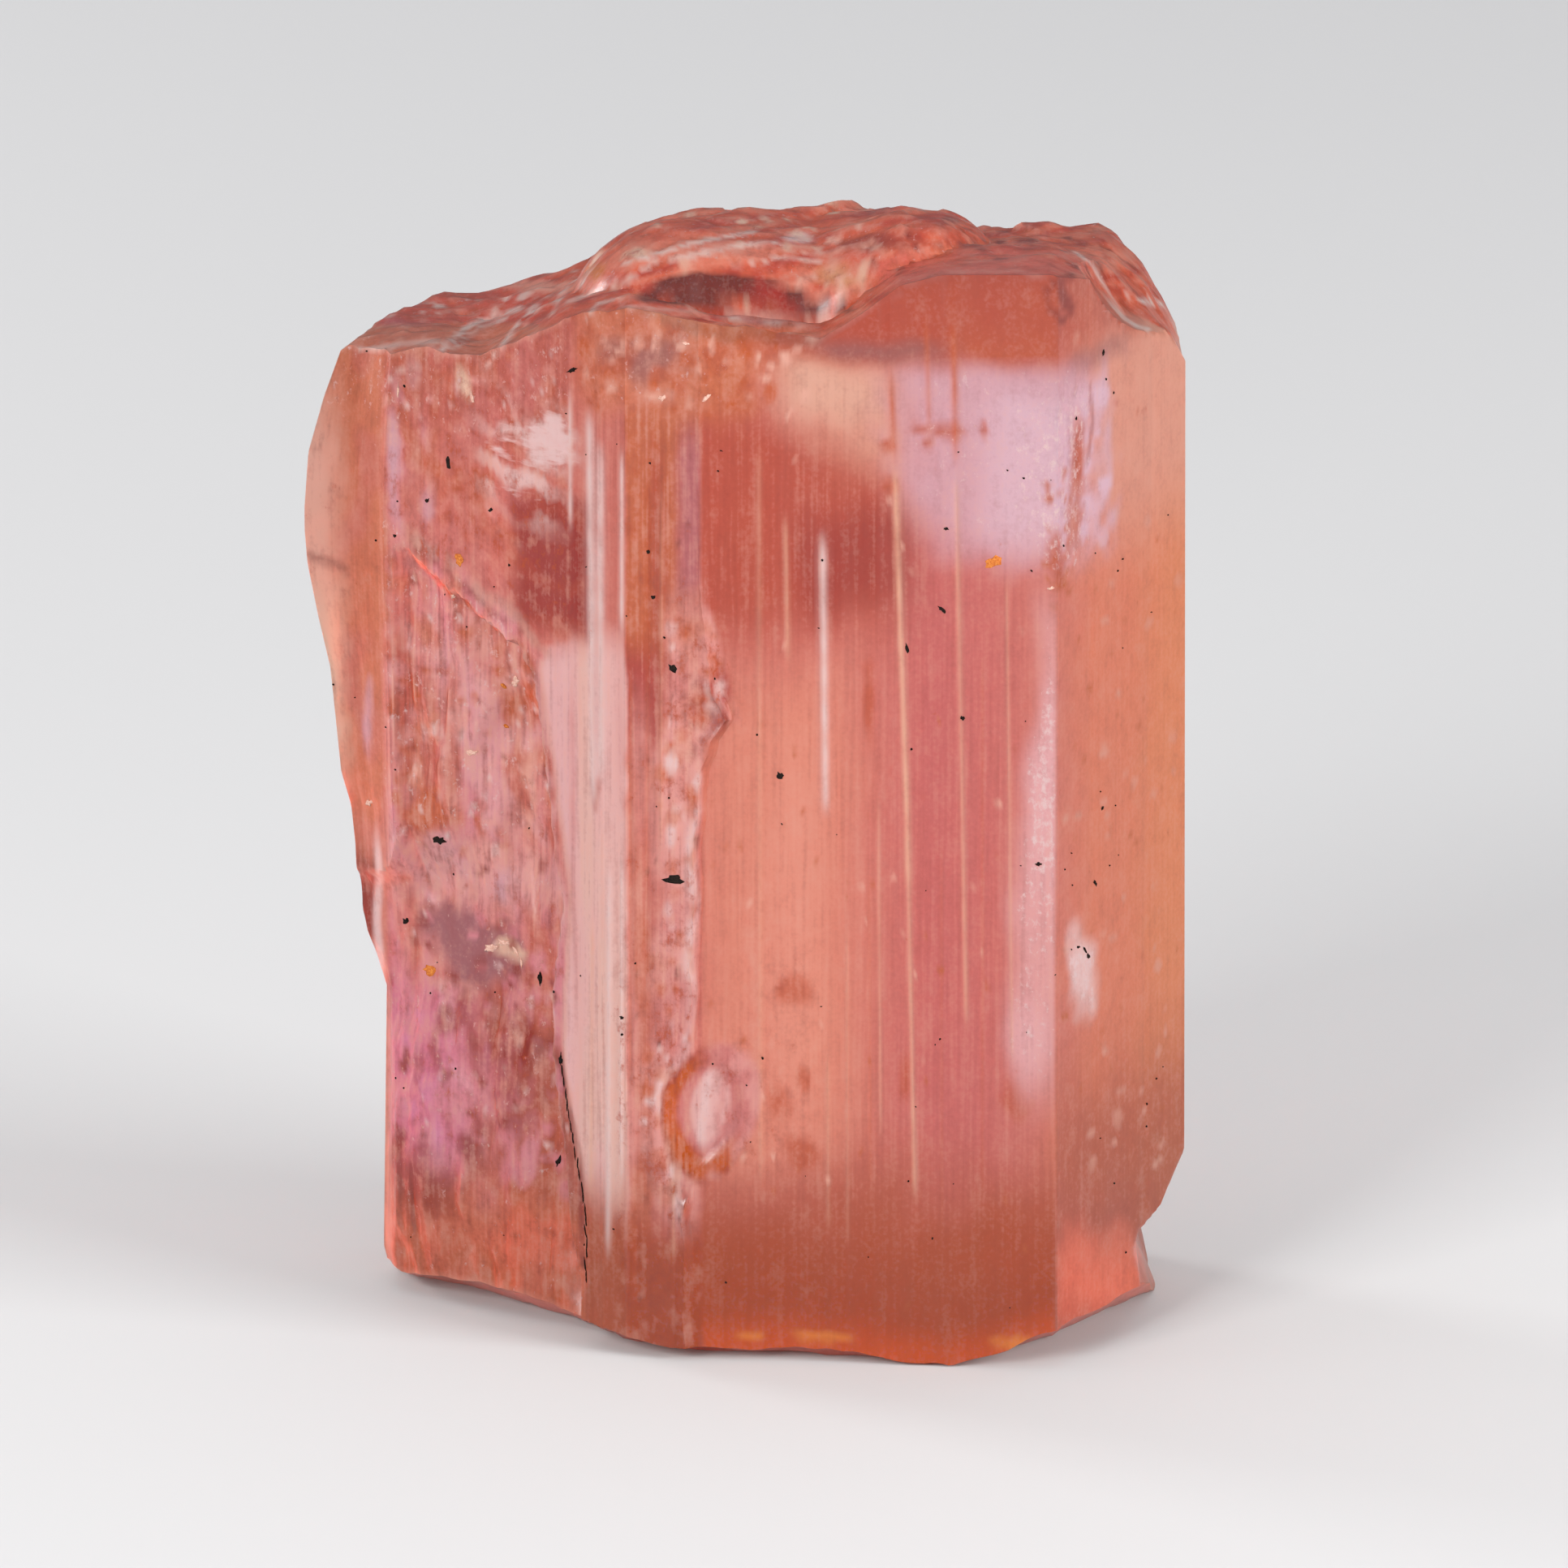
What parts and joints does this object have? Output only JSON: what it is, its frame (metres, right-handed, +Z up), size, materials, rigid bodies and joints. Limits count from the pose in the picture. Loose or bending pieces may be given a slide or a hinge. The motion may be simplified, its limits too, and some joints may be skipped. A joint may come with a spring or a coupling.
{
  "type": "topaz crystal",
  "caption": "Rough gem crystal: a stubby striated prism, splintered down one side and broken across the top, standing on its flat cleavage base.",
  "frame": {"origin": "middle of the flat base the crystal stands on, under the centre of its bounding box", "axes": "+Z up the crystal's long axis, -Y out of the broad main face, +X to the right of a viewer who faces that face"},
  "size_m": [0.0154, 0.0096, 0.02],
  "materials": {
    "topaz": "clear orange-pink crystal, glossy prism faces, splintery breaks"
  },
  "bodies": {
    "root": {"topaz_crystal": "topaz"}
  },
  "joints": []
}
